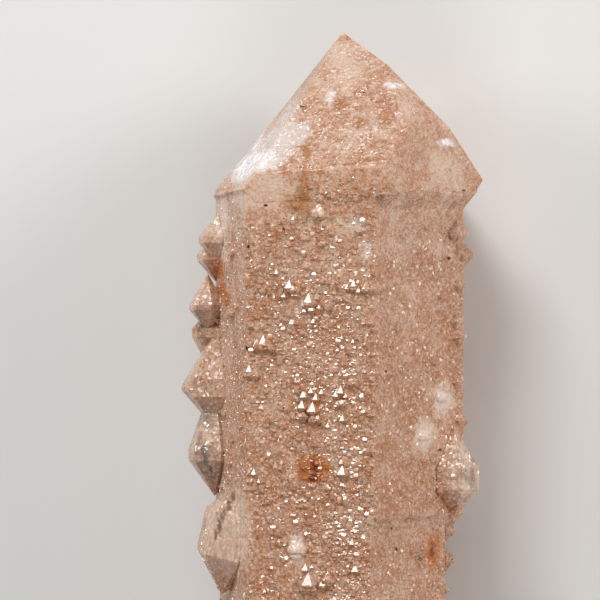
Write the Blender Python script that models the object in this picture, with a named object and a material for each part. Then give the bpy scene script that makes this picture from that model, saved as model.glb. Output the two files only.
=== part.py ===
"""A double terminated quartz crystal with a crust of small crystals, lying on one face of its prism.

The long axis is Y, with the better formed point towards +Y. The front face of the prism faces +Z and the
face it lies on faces -Z. Every crystal of the cluster shares the shaft's directions, as in parallel growth.
"""

import math
import random
from dataclasses import dataclass

import bmesh
import bpy
from mathutils import Euler, Matrix, Vector

MM = 0.001

# Quartz: six prism faces, 60 degrees apart, and pyramid faces at 38.2 degrees to the long axis.
SIDES = 6
FACE_TURN = math.radians(60)
PYRAMID_ANGLE = math.radians(38.2)
TIP_RISE = 1 / math.tan(PYRAMID_ANGLE)

# The whole crystal. "Along" is measured from the better formed tip, "across" and "depth" from the axis.
LENGTH = 106 * MM
SHAFT_WIDTH = 13.77 * MM
REST_GAP = 0.60 * MM
AXIS_HEIGHT = SHAFT_WIDTH + REST_GAP
LOWER_SIDE = 3
MERGE = 0.0001 * MM

# How far each side of the shaft is from its axis, in millimetres: above the step in its girth, and below it.
STEP_ALONG = 58.0
SHAFT_LEVELS = (13.83, 13.77, 13.77, 13.77, 13.77, 13.77)
CORE_LEVELS = (13.83, 13.36, 11.05, 10.77, 12.14, 13.67)

# Across and depth of the left and right edges, in millimetres: above the step, and below it.
SHAFT_CORNERS = ((-15.6, 0.4), (15.6, 0.4))
CORE_CORNERS = ((-14.5, 1.5), (13.6, 2.1))

# The crust: small crystals sunk into the faces, and rows of them down the two outer edges.
CRUST_SEED = 20
CRUST_PER_SIDE = (80, 60, 20, 10, 20, 36)
TOOTH_SEED = 11
TEETH_PER_EDGE = (9, 12)
CRUST_LEAN = math.radians(2.5)

# How far beyond the head's point each of its faces meets the axis, and the low triangles that stand on them.
HEAD_BEYOND = (0.0, 4.9 * MM, 0.55 * MM, 1.6 * MM, 0.0, 0.0)
HILLOCK_SEED = 3
HILLOCKS_PER_SIDE = (13, 7, 4, 1, 3, 4)
HILLOCK_LEAN = math.radians(1.2)

QUARTZ_COLOUR = (0.46, 0.26, 0.165, 1.0)
QUARTZ_ROUGHNESS = 0.38


@dataclass(frozen=True)
class Growth:
    """One double ended crystal: where its axis runs, how wide it is and how long its prism is."""

    across: float
    depth: float
    along: float
    width: float
    prism: float
    upper_steepness: float = 1.0
    lower_steepness: float = 1.0
    lean: tuple[float, float, float] = (0.0, 0.0, 0.0)
    face_shares: tuple[float, ...] = (1.0,) * SIDES
    upper_beyond: tuple[float, ...] = (0.0,) * SIDES
    lower_beyond: tuple[float, ...] = (0.0,) * SIDES

    @property
    def centre(self) -> Vector:
        return Vector((self.across, LENGTH / 2 - self.along, AXIS_HEIGHT + self.depth))


def clear_scene() -> None:
    for thing in list(bpy.data.objects):
        bpy.data.objects.remove(thing, do_unlink=True)


def outward(turn: float) -> Vector:
    """The direction across the long axis, turned from the front towards +X."""
    return Vector((math.sin(turn), 0.0, math.cos(turn)))


def cut_flat(shape: bmesh.types.BMesh, point: Vector, normal: Vector) -> None:
    """Cuts away what lies beyond a plane and closes the cut with one flat face."""
    everything = shape.verts[:] + shape.edges[:] + shape.faces[:]
    cut = bmesh.ops.bisect_plane(
        shape, geom=everything, dist=MERGE, plane_co=point, plane_no=normal, clear_outer=True
    )
    rim = [piece for piece in cut["geom_cut"] if isinstance(piece, bmesh.types.BMEdge)]
    if len(rim) > 2:
        bmesh.ops.contextual_create(shape, geom=rim)


def cut_tip(shape: bmesh.types.BMesh, height: float, steepness: float, beyond: tuple[float, ...]) -> None:
    """Cuts the six faces of one pyramid, each meeting the axis its own distance beyond the point.

    A negative height cuts the lower pyramid.
    """
    slope = math.atan(math.tan(PYRAMID_ANGLE) / steepness)
    end = math.copysign(1.0, height)
    for side in range(SIDES):
        normal = outward(side * FACE_TURN) * math.cos(slope)
        normal.y = end * math.sin(slope)
        cut_flat(shape, Vector((0.0, height + end * beyond[side], 0.0)), normal)


def crystal_shape(growth: Growth) -> bmesh.types.BMesh:
    """A hexagonal prism with a pyramid at both ends, cut out of a block."""
    reach = growth.prism / 2
    upper = reach + growth.width * TIP_RISE * growth.upper_steepness
    lower = reach + growth.width * TIP_RISE * growth.lower_steepness
    shape = bmesh.new()
    bmesh.ops.create_cube(shape, size=4 * (upper + lower))
    for side in range(SIDES):
        normal = outward(side * FACE_TURN)
        cut_flat(shape, normal * growth.width * growth.face_shares[side], normal)
    cut_tip(shape, upper, growth.upper_steepness, growth.upper_beyond)
    cut_tip(shape, -lower, growth.lower_steepness, growth.lower_beyond)
    bmesh.ops.recalc_face_normals(shape, faces=shape.faces)
    return shape


def add_crystal(name: str, growth: Growth, group: bpy.types.Collection) -> bpy.types.Object:
    """Places one crystal in the group, as a helper that isn't drawn itself."""
    shape = crystal_shape(growth)
    place = Matrix.Translation(growth.centre) @ Euler(growth.lean).to_matrix().to_4x4()
    shape.transform(place)
    mesh = bpy.data.meshes.new(name)
    shape.to_mesh(mesh)
    shape.free()
    crystal = bpy.data.objects.new(name, mesh)
    group.objects.link(crystal)
    crystal.hide_render = True
    crystal.display_type = "WIRE"
    return crystal


def mm(across: float, depth: float, along: float, width: float, prism: float, **more) -> Growth:
    """A crystal given in millimetres."""
    return Growth(across * MM, depth * MM, along * MM, width * MM, prism * MM, **more)


def lean_left(degrees: float) -> tuple[float, float, float]:
    """Turns a crystal about the front direction, its upper tip towards -X."""
    return (0.0, 0.0, math.radians(degrees))


def main_stages() -> dict[str, Growth]:
    """The wider stages that grew over the long core."""
    return {
        "upper_shaft": mm(0.0, 0.0, 38.9, 13.77, 40.2),
        "head": mm(
            1.2, 0.0, 18.9, 14.3, 2.2,
            lean=lean_left(2.4),
            face_shares=(0.967, 0.97, 1.08, 0.98, 1.12, 1.12),
            upper_beyond=HEAD_BEYOND,
        ),
        "foot": mm(
            -1.4, 0.3, 84.6, 12.7, 7.0,
            lean=lean_left(-1.5),
            face_shares=(1.0, 0.97, 1.03, 1.0, 0.98, 1.02),
            lower_beyond=(0.0, 1.8 * MM, 0.0, 2.4 * MM, 0.0, 1.2 * MM),
        ),
        "foot_second_tip": mm(3.2, 2.6, 87.0, 7.6, 6.0, lean=lean_left(1.0)),
        "foot_back_step": mm(-5.2, -3.0, 85.0, 7.4, 9.0, lean=lean_left(-2.0)),
    }


def side_crystals() -> dict[str, Growth]:
    """The larger crystals that stand out along both edges of the shaft."""
    return {
        "left_1": mm(-15.2, 1.4, 25.2, 2.2, 0.8),
        "left_2": mm(-15.6, -0.4, 27.4, 2.6, 0.5, face_shares=(1.0, 1.0, 1.0, 1.0, 1.1, 0.94)),
        "left_3": mm(-16.6, 1.2, 33.7, 2.1, 0.6, upper_steepness=1.5),
        "left_4": mm(-16.4, -0.8, 36.9, 2.5, 1.0, lower_steepness=1.6),
        "left_5": mm(-15.5, 0.8, 43.8, 3.9, 1.0, upper_steepness=1.45, face_shares=(0.9, 1, 1, 1, 1, 1.05)),
        "left_6": mm(-15.7, 1.2, 52.2, 3.0, 1.2, upper_steepness=2.5, lower_steepness=1.2),
        "left_7": mm(-11.5, 6.7, 61.9, 3.9, 5.0, lean=lean_left(-13.0), face_shares=(1, 1, 1, 1, 1.08, 0.94)),
        "left_8": mm(-13.4, -1.6, 62.6, 2.9, 2.0, lean=lean_left(-9.0)),
        "left_9": mm(-14.0, -0.6, 73.4, 2.6, 1.0, upper_steepness=1.3),
        "left_10": mm(-13.2, 1.2, 80.0, 3.7, 2.0, upper_steepness=1.2),
        "left_11": mm(-12.0, -1.5, 88.5, 3.3, 1.5, upper_steepness=1.2),
        "right_1": mm(15.2, 1.0, 24.6, 1.3, 0.3),
        "right_2": mm(15.2, -0.8, 27.2, 1.6, 0.4),
        "right_3": mm(15.2, 0.6, 31.0, 1.0, 0.3),
        "right_4": mm(15.3, 0.8, 37.2, 1.0, 0.5),
        "right_5": mm(15.2, -0.6, 47.8, 1.0, 0.3),
        "right_6": mm(15.1, 1.6, 54.6, 2.7, 2.6, upper_steepness=1.5, lower_steepness=1.05),
        "right_7": mm(13.5, 0.6, 61.0, 1.3, 0.3),
        "right_8": mm(13.2, -0.7, 64.8, 1.2, 0.6),
        "right_9": mm(12.6, 0.5, 74.5, 2.6, 1.2, upper_steepness=1.2),
        "right_10": mm(12.2, -1.5, 83.5, 2.9, 1.0),
    }


def resting_plates() -> dict[str, Growth]:
    """Flat-topped growth on the lower face. The plates are cut level, and the crystal lies on them."""
    return {
        "rest_1": mm(4.4, -11.4, 25.5, 3.2, 1.5),
        "rest_2": mm(-2.5, -11.2, 36.0, 3.8, 3.0),
        "rest_3": mm(4.2, -11.5, 50.0, 3.4, 6.0),
        "rest_4": mm(-3.6, -9.6, 67.0, 5.4, 4.0),
        "rest_5": mm(3.0, -10.2, 80.0, 4.6, 3.0),
    }


def front_crystals() -> dict[str, Growth]:
    """Single crystals that stand out of the front and right faces, most of them showing one bright triangle."""
    return {
        "front_1": on_side(0, 22.6, 1.1, 1.0, 0.45, upper_steepness=1.9),
        "front_2": on_side(0, 31.6, -2.3, 1.1, 0.5),
        "front_3": on_side(0, 31.4, 5.2, 1.0, 0.35),
        "front_4": on_side(0, 33.2, 0.0, 1.2, 0.6, upper_steepness=1.2),
        "front_5": on_side(0, 38.4, -5.7, 1.8, 0.6),
        "front_6": on_side(0, 41.8, -7.2, 1.3, 0.5),
        "front_7": on_side(0, 45.3, 3.7, 0.9, 0.4),
        "front_8": on_side(0, 46.9, -1.0, 0.9, 0.5, upper_steepness=1.4),
        "front_9": on_side(0, 47.2, 0.7, 1.0, 0.55, upper_steepness=1.3),
        "front_10": on_side(0, 62.9, -1.6, 1.7, 0.5, upper_steepness=1.5),
        "front_11": on_side(0, 67.4, -0.2, 1.4, 0.7, upper_steepness=1.6),
        "front_12": on_side(0, 66.4, 2.3, 1.1, 0.55),
        "right_face_1": on_side(1, 44.8, 4.0, 1.4, 0.35, upper_steepness=1.7),
        "right_face_2": on_side(1, 49.4, 0.8, 1.5, 0.35, upper_steepness=1.6),
        "left_face_1": on_side(5, 27.0, 1.0, 1.3, 0.45),
        "left_face_2": on_side(5, 34.4, 0.6, 1.5, 0.6),
    }


def on_side(side: int, along: float, slide: float, width: float, rise: float, **more) -> Growth:
    """A crystal in millimetres that stands out of one side of the shaft by a rise."""
    across, depth = on_face(side, along, slide, rise - width)
    return mm(across, depth, along, width, 0.25 * width, **more)


def shares(dice: random.Random, spread: float) -> tuple[float, ...]:
    """Six face distances, each a little more or less than one."""
    return tuple(dice.uniform(1 - spread, 1 + spread) for _ in range(SIDES))


def on_face(side: int, along: float, slide: float, rise: float) -> tuple[float, float]:
    """Across and depth, in millimetres, of a spot that stands out of one side of the shaft by a rise."""
    level = SHAFT_LEVELS[side] if along < STEP_ALONG else CORE_LEVELS[side]
    spot = outward(side * FACE_TURN) * (level + rise)
    spot += outward(side * FACE_TURN + math.pi / 2) * slide
    return spot.x, spot.z


def crust_crystals(seed: int) -> dict[str, Growth]:
    """Small crystals sunk into the faces of the shaft, each a little off the shaft's directions."""
    dice = random.Random(seed)
    crust = {}
    for side, count in enumerate(CRUST_PER_SIDE):
        for number in range(count):
            along = dice.uniform(24, 84)
            width = 0.45 + 1.0 * dice.random() ** 2.4
            rise = width * dice.uniform(0.12, 0.36)
            if side == LOWER_SIDE:
                rise = min(rise, 0.8 * REST_GAP / MM)
            slide = dice.uniform(-7.6, 7.6) if along < STEP_ALONG else dice.uniform(-6.0, 6.0)
            across, depth = on_face(side, along, slide, rise - width)
            crust[f"crust_{side}_{number}"] = mm(
                across, depth, along, width, width * dice.uniform(0.0, 0.3),
                upper_steepness=dice.uniform(0.95, 1.35),
                lower_steepness=dice.uniform(0.9, 1.2),
                lean=tuple(dice.uniform(-CRUST_LEAN, CRUST_LEAN) for _ in range(3)),
                face_shares=shares(dice, 0.08),
            )
    return crust


def head_reach(side: int, fall: float) -> float:
    """How far one face of the head is from its axis, at a fall below its point."""
    return (fall + HEAD_BEYOND[side % SIDES]) / TIP_RISE


def head_edge(side: int, way: int, fall: float) -> float:
    """How far along one face of the head its edge to the left (-1) or right (1) is, at a fall below the point."""
    gap = head_reach(side + way, fall) - head_reach(side, fall) / 2
    return way * gap / math.sin(FACE_TURN)


def head_hillocks(seed: int) -> dict[str, Growth]:
    """Low triangles on the faces of the head, each the tip of a crystal that grew along with it."""
    dice = random.Random(seed)
    head = main_stages()["head"]
    turn = Euler(head.lean).to_matrix()
    point = head.prism / 2 + head.width * TIP_RISE
    hillocks = {}
    for side, count in enumerate(HILLOCKS_PER_SIDE):
        for number in range(count):
            rise = dice.uniform(0.07, 0.2) * MM
            fall = dice.uniform(5.0, 14.0) * MM
            reach = head_reach(side, fall)
            room = head.width * head.face_shares[side] - reach - 0.6 * MM
            width = min(dice.uniform(0.8, 3.6) * MM, room)
            place = dice.random()
            left = head_edge(side, -1, fall) + 1.1 * width
            right = head_edge(side, 1, fall) - 1.1 * width
            if width < 0.6 * MM or left > right:
                continue
            slide = left + (right - left) * place
            tip = outward(side * FACE_TURN) * (reach + rise) + outward(side * FACE_TURN + math.pi / 2) * slide
            prism = 0.3 * width
            tip.y = point - fall - width * TIP_RISE - prism / 2
            centre = turn @ tip
            hillocks[f"hillock_{side}_{number}"] = Growth(
                head.across + centre.x, head.depth + centre.z, head.along - centre.y, width, prism,
                lean=tuple(angle + dice.uniform(-HILLOCK_LEAN, HILLOCK_LEAN) for angle in head.lean),
            )
    return hillocks


def edge_teeth(seed: int) -> dict[str, Growth]:
    """Small crystals in a row down the two outer edges of the shaft, left and then right."""
    dice = random.Random(seed)
    teeth = {}
    for edge, count in enumerate(TEETH_PER_EDGE):
        for number in range(count):
            along = 24 + (number + dice.uniform(0.2, 0.8)) * 62 / count
            width = dice.uniform(0.5, 0.95)
            corner, level = SHAFT_CORNERS[edge] if along < STEP_ALONG else CORE_CORNERS[edge]
            across = corner - math.copysign(width * dice.uniform(0.3, 0.6), corner)
            teeth[f"tooth_{edge}_{number}"] = mm(
                across, level + dice.uniform(-0.8, 0.8), along, width, width * 0.2,
                upper_steepness=dice.uniform(0.95, 1.3),
                lean=tuple(dice.uniform(-CRUST_LEAN, CRUST_LEAN) for _ in range(3)),
                face_shares=shares(dice, 0.08),
            )
    return teeth


def quartz_material() -> bpy.types.Material:
    """Milky pink-brown quartz."""
    material = bpy.data.materials.new("milky_quartz")
    material.use_nodes = True
    shader = material.node_tree.nodes["Principled BSDF"]
    shader.inputs["Base Color"].default_value = QUARTZ_COLOUR
    shader.inputs["Roughness"].default_value = QUARTZ_ROUGHNESS
    shader.inputs["Metallic"].default_value = 0.0
    shader.inputs["IOR"].default_value = 1.544
    material.diffuse_color = QUARTZ_COLOUR
    return material


def join_growth(crystal: bpy.types.Object, group: bpy.types.Collection) -> None:
    """Grows the crystals of the group together with the core."""
    union = crystal.modifiers.new("grow_together", "BOOLEAN")
    union.operation = "UNION"
    union.solver = "EXACT"
    union.operand_type = "COLLECTION"
    union.collection = group


def trim_underside(crystal: bpy.types.Object) -> None:
    """Cuts off what reaches below the surface that the crystal lies on."""
    depth = 4 * REST_GAP
    shape = bmesh.new()
    bmesh.ops.create_cube(shape, size=1.0)
    bmesh.ops.scale(shape, vec=(LENGTH, 2 * LENGTH, depth), verts=shape.verts)
    bmesh.ops.translate(shape, vec=(0.0, 0.0, -depth / 2), verts=shape.verts)
    mesh = bpy.data.meshes.new("below_surface")
    shape.to_mesh(mesh)
    shape.free()
    cutter = bpy.data.objects.new("below_surface", mesh)
    bpy.context.scene.collection.objects.link(cutter)
    cutter.hide_render = True
    cutter.display_type = "WIRE"
    cut = crystal.modifiers.new("trim_underside", "BOOLEAN")
    cut.operation = "DIFFERENCE"
    cut.solver = "EXACT"
    cut.object = cutter


def settle(crystal: bpy.types.Object) -> None:
    """Makes the grown shape the crystal's own mesh, with the origin under the middle of its outline."""
    graph = bpy.context.evaluated_depsgraph_get()
    mesh = bpy.data.meshes.new_from_object(crystal.evaluated_get(graph))
    crystal.modifiers.clear()
    crystal.data = mesh
    for axis in (0, 1):
        ends = [corner.co[axis] for corner in mesh.vertices]
        shift = Vector((0.0, 0.0, 0.0))
        shift[axis] = -(min(ends) + max(ends)) / 2
        mesh.transform(Matrix.Translation(shift))


def main() -> None:
    clear_scene()
    group = bpy.data.collections.new("growth")
    bpy.context.scene.collection.children.link(group)
    core = mm(-0.7, 1.53, 57.0, 12.3, 66.0, face_shares=(1.0, 1.073, 1.01, 1.0, 1.0, 1.0))
    crystal = add_crystal("quartz_crystal", core, bpy.context.scene.collection)
    crystal.hide_render = False
    crystal.display_type = "TEXTURED"
    crystal.data.materials.append(quartz_material())
    grown = {**main_stages(), **side_crystals(), **front_crystals(), **resting_plates()}
    grown.update(crust_crystals(CRUST_SEED))
    grown.update(edge_teeth(TOOTH_SEED))
    grown.update(head_hillocks(HILLOCK_SEED))
    for name, growth in grown.items():
        add_crystal(name, growth, group)
    join_growth(crystal, group)
    trim_underside(crystal)
    settle(crystal)
    for helper in [thing for thing in bpy.data.objects if thing is not crystal]:
        bpy.data.objects.remove(helper, do_unlink=True)


if __name__ == "__main__":
    main()
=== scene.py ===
"""The looks of a double terminated quartz crystal with a crust of small crystals.

The crystal lies on one face of its prism on a pale floor. Its long axis is Y, with the better formed point
towards +Y, and the camera looks down on its front and right faces.
"""
import logging
import math
from dataclasses import dataclass
from enum import Enum
from typing import Any

import bmesh
import bpy
import numpy as np
from mathutils import Euler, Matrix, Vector


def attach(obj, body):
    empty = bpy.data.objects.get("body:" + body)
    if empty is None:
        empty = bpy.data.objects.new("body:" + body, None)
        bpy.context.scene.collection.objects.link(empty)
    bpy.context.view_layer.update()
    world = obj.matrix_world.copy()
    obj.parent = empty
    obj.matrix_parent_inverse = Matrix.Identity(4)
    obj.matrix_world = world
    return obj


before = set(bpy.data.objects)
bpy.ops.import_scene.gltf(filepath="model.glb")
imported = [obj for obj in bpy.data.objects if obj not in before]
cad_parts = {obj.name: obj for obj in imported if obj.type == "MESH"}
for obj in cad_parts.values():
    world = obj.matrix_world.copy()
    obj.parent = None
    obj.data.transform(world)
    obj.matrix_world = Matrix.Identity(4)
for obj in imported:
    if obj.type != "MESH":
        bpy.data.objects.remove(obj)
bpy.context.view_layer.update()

LOG = logging.getLogger("quartz")
MM = 0.001
CRYSTAL_NODE = "quartz_crystal"
BODY = "root"
SLOT = "milky_quartz"

# Quartz: six prism faces, 60 degrees apart, and pyramid faces at 38.2 degrees to the long axis.
FACE_TURN = math.radians(60)
PYRAMID_ANGLE = math.radians(38.2)
TIP_RISE = 1 / math.tan(PYRAMID_ANGLE)
QUARTZ_IOR = 1.544

# Where the shaft's axis is across, how high it is, and how high the front face is, in millimetres.
AXIS_ACROSS = 0.95
AXIS_LEVEL = 14.37
FRONT_LEVEL = 28.2

# The name under which each small crystal's own number from 0 to 1 is kept in its mesh.
TONE = "tone"

Colour = tuple[float, float, float]
Place = tuple[float, float, float]


class Side(Enum):
    """The faces of the shaft's prism, each turned on from the last about the long axis."""

    FRONT = 0
    RIGHT_FRONT = 1
    RIGHT_REAR = 2
    REAR = 3
    LEFT_REAR = 4
    LEFT_FRONT = 5

    @property
    def outward(self) -> Vector:
        """The direction that the face looks in."""
        turn = self.value * FACE_TURN
        return Vector((math.sin(turn), 0.0, math.cos(turn)))


class Maths(Enum):
    """The sums that a surface's values need."""

    ADD = "ADD"
    SUBTRACT = "SUBTRACT"
    MULTIPLY = "MULTIPLY"
    LARGER = "MAXIMUM"


class Edge(Enum):
    """How a mark's edge wanders: the wobble's size, its finer layers and its reach, in millimetres."""

    LOOSE = (1.6, 4.0, 1.8)
    RAGGED = (0.7, 3.0, 0.6)
    CLOSE = (0.2, 2.0, 0.25)


class Value:
    """A number or a colour on its way between shader nodes, with sums that add their own nodes."""

    def __init__(self, shader: "Shader", socket: bpy.types.NodeSocket) -> None:
        """Wraps one output socket of a shader."""
        self.shader = shader
        self.socket = socket

    def sum_with(self, kind: Maths, first: Any, second: Any) -> "Value":
        """Adds a Math node.

        Args:
            kind: the sum.
            first: the left side, a value or a number.
            second: the right side, a value or a number.

        Returns:
            The sum's result.
        """
        return self.shader.node("ShaderNodeMath", {"operation": kind.value}, {0: first, 1: second})

    def __add__(self, other: Any) -> "Value":
        """self + other"""
        return self.sum_with(Maths.ADD, self, other)

    def __radd__(self, other: Any) -> "Value":
        """other + self"""
        return self.sum_with(Maths.ADD, other, self)

    def __sub__(self, other: Any) -> "Value":
        """self - other"""
        return self.sum_with(Maths.SUBTRACT, self, other)

    def __rsub__(self, other: Any) -> "Value":
        """other - self"""
        return self.sum_with(Maths.SUBTRACT, other, self)

    def __mul__(self, other: Any) -> "Value":
        """self * other"""
        return self.sum_with(Maths.MULTIPLY, self, other)

    def __rmul__(self, other: Any) -> "Value":
        """other * self"""
        return self.sum_with(Maths.MULTIPLY, other, self)

    def larger(self, other: Any) -> "Value":
        """The larger of the two."""
        return self.sum_with(Maths.LARGER, self, other)

    def fade(self, start: float, end: float, low: float = 0.0, high: float = 1.0) -> "Value":
        """Eases from low to high.

        Args:
            start: where the result is still low.
            end: where the result has reached high.
            low: the result at and before the start.
            high: the result at and after the end.

        Returns:
            The eased value.
        """
        if start > end:
            start, end, low, high = end, start, high, low
        return self.shader.node(
            "ShaderNodeMapRange",
            {"interpolation_type": "SMOOTHSTEP"},
            {"Value": self, "From Min": start, "From Max": end, "To Min": low, "To Max": high},
        )


class Shader:
    """One material's node tree."""

    def __init__(self, name: str) -> None:
        """Starts a material with an empty tree.

        Args:
            name: the material's name.
        """
        self.material = bpy.data.materials.new(name)
        self.material.use_nodes = True
        self.tree = self.material.node_tree
        self.tree.nodes.clear()

    def node(
        self, kind: str, settings: dict[str, Any] | None = None, sockets: dict[str | int, Any] | None = None,
        out: str | int = 0,
    ) -> Value:
        """Adds a node of any kind.

        Args:
            kind: the node's type.
            settings: what is set on the node itself, first.
            sockets: a number, colour or value for each input, by name, identifier or place.
            out: the output that is wanted, by name or place.

        Returns:
            The wanted output.
        """
        made = self.tree.nodes.new(kind)
        for name, setting in (settings or {}).items():
            setattr(made, name, setting)
        by_identifier = {socket.identifier: socket for socket in made.inputs}
        for key, value in (sockets or {}).items():
            socket = by_identifier[key] if key in by_identifier else made.inputs[key]
            if isinstance(value, Value):
                self.tree.links.new(value.socket, socket)
            else:
                socket.default_value = value
        return Value(self, made.outputs[out])

    def vector(self, operation: str, first: Any, second: Any = (0.0, 0.0, 0.0), out: str | int = 0) -> Value:
        """Adds a Vector Math node.

        Args:
            operation: what it does.
            first: a vector or a value.
            second: a vector or a value.
            out: the output that is wanted.

        Returns:
            The wanted output.
        """
        return self.node("ShaderNodeVectorMath", {"operation": operation}, {0: first, 1: second}, out)

    def scaled(self, vector: Value, amount: Any) -> Value:
        """A vector made longer by a number or a value."""
        return self.node("ShaderNodeVectorMath", {"operation": "SCALE"}, {0: vector, "Scale": amount})

    def part(self, vector: Value, axis: str) -> Value:
        """The X, Y or Z of a vector."""
        return self.node("ShaderNodeSeparateXYZ", None, {"Vector": vector}, axis)

    def blend(self, under: Any, over: Any, mask: Any, kind: str = "MIX") -> Value:
        """Lays one colour over another.

        Args:
            under: the colour where the mask is 0.
            over: the colour where the mask is 1.
            mask: how much of the second colour shows.
            kind: how the two colours mix.

        Returns:
            The mixed colour.
        """
        sockets = {"Factor_Float": mask, "A_Color": paint(under), "B_Color": paint(over)}
        return self.node("ShaderNodeMix", {"data_type": "RGBA", "blend_type": kind}, sockets, 2)

    def millimetres(self) -> Value:
        """The place of each point of the surface in the object's own coordinates, in millimetres."""
        return self.scaled(self.node("ShaderNodeTexCoord", out="Object"), 1 / MM)

    def noise(self, place: Value, size: float, detail: float = 2.0, out: str | int = 0) -> Value:
        """Soft cloudy noise.

        Args:
            place: where it is read, in millimetres.
            size: how large its clouds are, in millimetres.
            detail: how many finer layers it has.
            out: 0 for a number, 1 for a colour.

        Returns:
            The noise, from about 0.2 to 0.8.
        """
        sockets = {"Vector": place, "Scale": 1 / size, "Detail": detail}
        return self.node("ShaderNodeTexNoise", None, sockets, out)

    def cells(self, place: Value, size: float) -> Value:
        """Cells of about one size, in millimetres, as a grainy surface has, each with a colour to itself."""
        return self.node("ShaderNodeTexVoronoi", None, {"Vector": place, "Scale": 1 / size}, "Color")

    def stray(self, place: Value, edge: Edge) -> Value:
        """Moves places about a little, so that what is drawn there gets an uneven edge.

        Args:
            place: where the surface is, in millimetres.
            edge: how uneven it gets.

        Returns:
            The moved place.
        """
        size, detail, reach = edge.value
        wobble = self.vector("MULTIPLY", self.noise(place, size, detail, 1), (2 * reach,) * 3)
        return self.vector("ADD", place, self.vector("SUBTRACT", wobble, (reach,) * 3))

    def quartz(self, sockets: dict[str, Any], settings: dict[str, Any] | None = None) -> Value:
        """A surface that bends light as quartz does."""
        return self.node("ShaderNodeBsdfPrincipled", settings, {"IOR": QUARTZ_IOR} | sockets)

    def clear_quartz(self, tint: Colour, roughness: Value, normal: Value) -> Value:
        """Quartz that can be seen through.

        Args:
            tint: the colour that it gives to what is behind it.
            roughness: how rough its surface is.
            normal: the surface's direction.

        Returns:
            The surface shader.
        """
        sockets = {"Base Color": paint(tint), "Roughness": roughness, "Normal": normal}
        return self.quartz(sockets | {"Transmission Weight": 1.0})

    def finish(self, surface: Value, volume: Value | None = None) -> bpy.types.Material:
        """Joins the surface, and the inside if it has one, to the material's output.

        Args:
            surface: the surface shader.
            volume: the shader of what is inside the surface.

        Returns:
            The finished material.
        """
        end = self.tree.nodes.new("ShaderNodeOutputMaterial")
        self.tree.links.new(surface.socket, end.inputs["Surface"])
        if volume is not None:
            self.tree.links.new(volume.socket, end.inputs["Volume"])
        return self.material


def paint(colour: Any) -> Any:
    """A colour of three numbers with the fourth that a socket wants, or a value as it is."""
    return colour if isinstance(colour, Value) else (*colour, 1.0)


@dataclass(frozen=True)
class Mark:
    """A stain, a patch or a speck: its middle and how far it reaches each way, in millimetres."""

    middle: Place
    reach: Place
    soft: float

    def mask(self, shader: Shader, place: Value) -> Value:
        """Shows where the mark is.

        Args:
            shader: the material that it is in.
            place: where the surface is, in millimetres.

        Returns:
            1 in the middle of the mark and 0 outside it.
        """
        offset = shader.vector("SUBTRACT", place, self.middle)
        share = shader.vector("DIVIDE", offset, self.reach)
        return shader.vector("LENGTH", share, out="Value").fade(1.0, 1.0 - self.soft)


Marks = tuple[Mark, ...]


def marks(*rows: tuple[float, ...]) -> Marks:
    """Marks from rows of seven numbers: the middle's place, the reach each way, and the edge's softness."""
    return tuple(Mark(row[:3], row[3:6], row[6]) for row in rows)


def any_mark(shader: Shader, place: Value, spots: Marks) -> Value:
    """The mask of several marks together.

    Args:
        shader: the material that they are in.
        place: where the surface is, in millimetres.
        spots: the marks.

    Returns:
        1 inside any of the marks.
    """
    masks = [mark.mask(shader, place) for mark in spots]
    together = masks[0]
    for mask in masks[1:]:
        together = together.larger(mask)
    return together


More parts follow.
